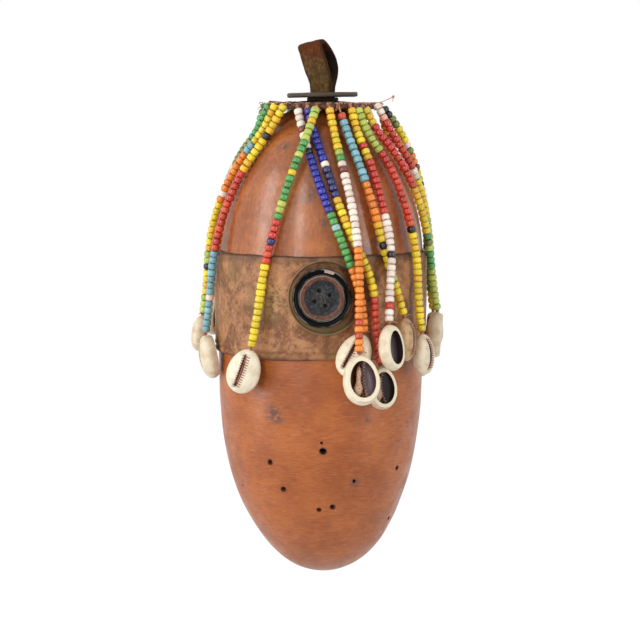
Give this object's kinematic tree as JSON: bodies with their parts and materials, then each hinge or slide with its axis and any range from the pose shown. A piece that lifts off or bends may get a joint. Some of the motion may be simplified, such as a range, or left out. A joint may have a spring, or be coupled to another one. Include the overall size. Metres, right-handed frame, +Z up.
{
  "type": "beaded gourd",
  "caption": "Egg-shaped hollow gourd body in two joined halves under a leather band, with a button eye, hung on a strap loop, with a fringe of bead strings ending in cowrie shells.",
  "frame": {"origin": "inner top of the strap loop, where a hook or nail carries it", "axes": "+Z up along the body's length; the button eye faces -Y; +X is to the right when the eye is looked at"},
  "size_m": [0.1312, 0.1426, 0.266],
  "materials": {
    "dome_gourd": "polished, reddish brown",
    "cup_gourd": "worn smooth, orange brown, with insect holes",
    "band_leather": "aged and mottled",
    "eye_backing": "moulded, dull",
    "black_ring": "glossy black",
    "button": "worn, with a reddish rim",
    "collar_leather": "dry",
    "fibre": "frayed",
    "pad_leather": "dark",
    "iron": "dull, lightly rusted",
    "strap_leather": "worn suede",
    "toggle_wood": "plain",
    "glass_beads": "opaque, glossy, many colours",
    "cowrie_shell": "smooth, ivory"
  },
  "bodies": {
    "strap": {"strap_loop": "strap_leather"},
    "gourd": {"upper_shell": "dome_gourd", "lower_shell": "cup_gourd", "joint_band": "band_leather", "eye_backing": "eye_backing", "eye_ring": "black_ring", "eye_button": "button", "collar": "collar_leather", "collar_lashing": "fibre", "neck_pad": "pad_leather", "strap_tail": "strap_leather", "strap_toggle": "toggle_wood"},
    "washer": {"washer": "iron"},
    "front_strings": {"bead_strand_04": "glass_beads", "cowrie_04": "cowrie_shell", "bead_strand_05": "glass_beads", "cowrie_05": "cowrie_shell", "bead_strand_06": "glass_beads", "cowrie_06": "cowrie_shell", "bead_strand_07": "glass_beads", "cowrie_07": "cowrie_shell"},
    "side_strings": {"bead_strand_08": "glass_beads", "cowrie_08": "cowrie_shell", "bead_strand_09": "glass_beads", "cowrie_09": "cowrie_shell"},
    "string_01": {"bead_strand_01": "glass_beads", "cowrie_01": "cowrie_shell"},
    "string_02": {"bead_strand_02": "glass_beads", "cowrie_02": "cowrie_shell"},
    "string_03": {"bead_strand_03": "glass_beads", "cowrie_03": "cowrie_shell"},
    "string_10": {"bead_strand_10": "glass_beads", "cowrie_10": "cowrie_shell"},
    "string_11": {"bead_strand_11": "glass_beads", "cowrie_11": "cowrie_shell"},
    "string_12": {"bead_strand_12": "glass_beads", "cowrie_12": "cowrie_shell"},
    "string_13": {"bead_strand_13": "glass_beads", "cowrie_13": "cowrie_shell"},
    "string_14": {"bead_strand_14": "glass_beads", "cowrie_14": "cowrie_shell"},
    "string_15": {"bead_strand_15": "glass_beads", "cowrie_15": "cowrie_shell"},
    "string_16": {"bead_strand_16": "glass_beads", "cowrie_16": "cowrie_shell"},
    "string_17": {"bead_strand_17": "glass_beads", "cowrie_17": "cowrie_shell"},
    "string_18": {"bead_strand_18": "glass_beads", "cowrie_18": "cowrie_shell"},
    "string_19": {"bead_strand_19": "glass_beads", "cowrie_19": "cowrie_shell"},
    "string_20": {"bead_strand_20": "glass_beads", "cowrie_20": "cowrie_shell"}
  },
  "joints": [
    {"name": "body_swing", "type": "hinge", "parent": "strap", "child": "gourd", "pos_m": [0, 0, -0.0213], "axis": [1, 0, 0], "range_deg": [-30, 30]},
    {"name": "washer_spin", "type": "hinge", "parent": "gourd", "child": "washer", "pos_m": [0, 0, -0.0251], "axis": [0, 0, 1], "continuous": true},
    {"name": "front_strings_lift", "type": "hinge", "parent": "gourd", "child": "front_strings", "pos_m": [0.00262, -0.02989, -0.0311], "axis": [-0.9962, -0.0872, 0], "range_deg": [0, 70]},
    {"name": "side_strings_lift", "type": "hinge", "parent": "gourd", "child": "side_strings", "pos_m": [0.015, -0.02598, -0.0311], "axis": [-0.866, -0.5, 0], "range_deg": [0, 70]},
    {"name": "string_01_lift", "type": "hinge", "parent": "gourd", "child": "string_01", "pos_m": [-0.02598, -0.015, -0.0311], "axis": [-0.1132, 0.9936, 0], "range_deg": [0, 70]},
    {"name": "string_02_lift", "type": "hinge", "parent": "gourd", "child": "string_02", "pos_m": [-0.02176, -0.02065, -0.0311], "axis": [-0.3786, 0.9255, 0], "range_deg": [0, 70]},
    {"name": "string_03_lift", "type": "hinge", "parent": "gourd", "child": "string_03", "pos_m": [-0.01805, -0.02396, -0.0311], "axis": [-0.5664, 0.8241, 0], "range_deg": [0, 70]},
    {"name": "string_10_lift", "type": "hinge", "parent": "gourd", "child": "string_10", "pos_m": [0.01847, -0.02364, -0.0311], "axis": [-0.6756, -0.7373, 0], "range_deg": [0, 70]},
    {"name": "string_11_lift", "type": "hinge", "parent": "gourd", "child": "string_11", "pos_m": [0.02229, -0.02007, -0.0311], "axis": [-0.4305, -0.9026, 0], "range_deg": [0, 70]},
    {"name": "string_12_lift", "type": "hinge", "parent": "gourd", "child": "string_12", "pos_m": [0.02801, -0.01075, -0.0311], "axis": [-0.1045, -0.9945, 0], "range_deg": [0, 70]},
    {"name": "string_13_lift", "type": "hinge", "parent": "gourd", "child": "string_13", "pos_m": [0.02954, -0.00521, -0.0311], "axis": [0.1045, -0.9945, 0], "range_deg": [0, 70]},
    {"name": "string_14_lift", "type": "hinge", "parent": "gourd", "child": "string_14", "pos_m": [0.02954, 0.00521, -0.0311], "axis": [0.4226, -0.9063, 0], "range_deg": [0, 70]},
    {"name": "string_15_lift", "type": "hinge", "parent": "gourd", "child": "string_15", "pos_m": [0.02331, 0.01888, -0.0311], "axis": [0.7431, -0.6691, 0], "range_deg": [0, 70]},
    {"name": "string_16_lift", "type": "hinge", "parent": "gourd", "child": "string_16", "pos_m": [0.01124, 0.02782, -0.0311], "axis": [0.9511, -0.309, 0], "range_deg": [0, 70]},
    {"name": "string_17_lift", "type": "hinge", "parent": "gourd", "child": "string_17", "pos_m": [-0.00417, 0.02971, -0.0311], "axis": [0.9954, 0.0958, 0], "range_deg": [0, 70]},
    {"name": "string_18_lift", "type": "hinge", "parent": "gourd", "child": "string_18", "pos_m": [-0.01454, 0.02624, -0.0311], "axis": [0.9135, 0.4067, 0], "range_deg": [0, 70]},
    {"name": "string_19_lift", "type": "hinge", "parent": "gourd", "child": "string_19", "pos_m": [-0.02229, 0.02007, -0.0311], "axis": [0.7431, 0.6691, 0], "range_deg": [0, 70]},
    {"name": "string_20_lift", "type": "hinge", "parent": "gourd", "child": "string_20", "pos_m": [-0.02762, 0.01172, -0.0311], "axis": [0.4848, 0.8746, 0], "range_deg": [0, 70]}
  ]
}
